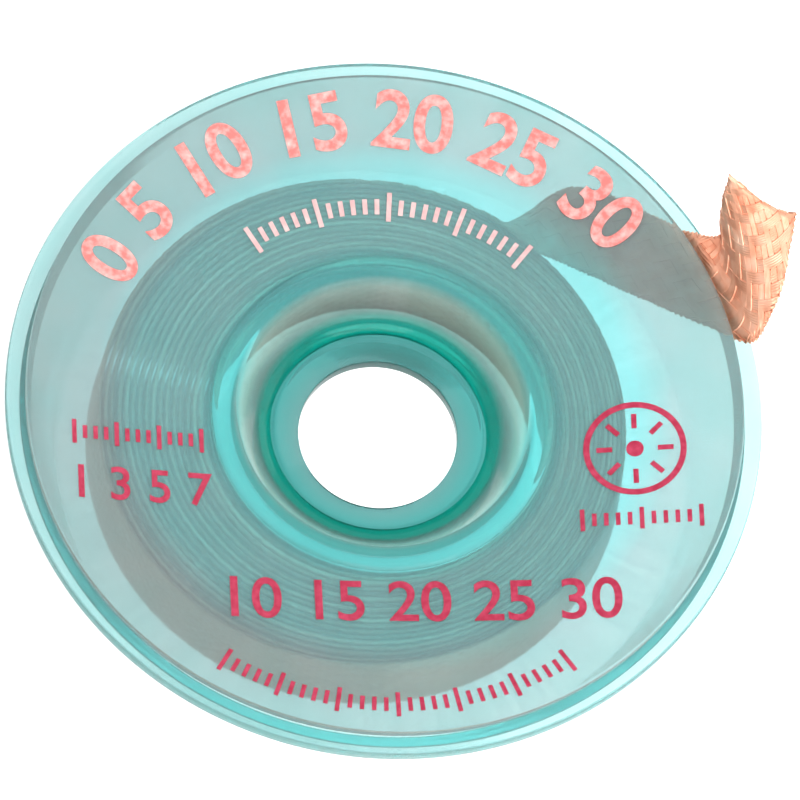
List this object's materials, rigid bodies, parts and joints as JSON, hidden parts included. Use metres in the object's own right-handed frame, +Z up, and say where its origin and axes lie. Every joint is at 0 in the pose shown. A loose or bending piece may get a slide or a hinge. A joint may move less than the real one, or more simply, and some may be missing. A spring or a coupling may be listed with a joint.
{
  "type": "desoldering braid",
  "caption": "Flat copper desoldering braid wound on a small two-part translucent bobbin, with its free end turned up at the rim.",
  "frame": {"origin": "on the bobbin's axis, at the level surface that it lies on", "axes": "+Z up along the bobbin's axis, out of its front face; +X to the picture's right; +Y away from the picture's viewer"},
  "size_m": [0.0438, 0.0438, 0.0156],
  "materials": {
    "front_plastic": "smooth translucent turquoise moulding",
    "back_plastic": "smooth translucent turquoise moulding",
    "copper": "bare copper wire, woven flat, satin"
  },
  "bodies": {
    "root": {"front_half": "front_plastic", "back_half": "back_plastic", "copper_braid": "copper"}
  },
  "joints": []
}
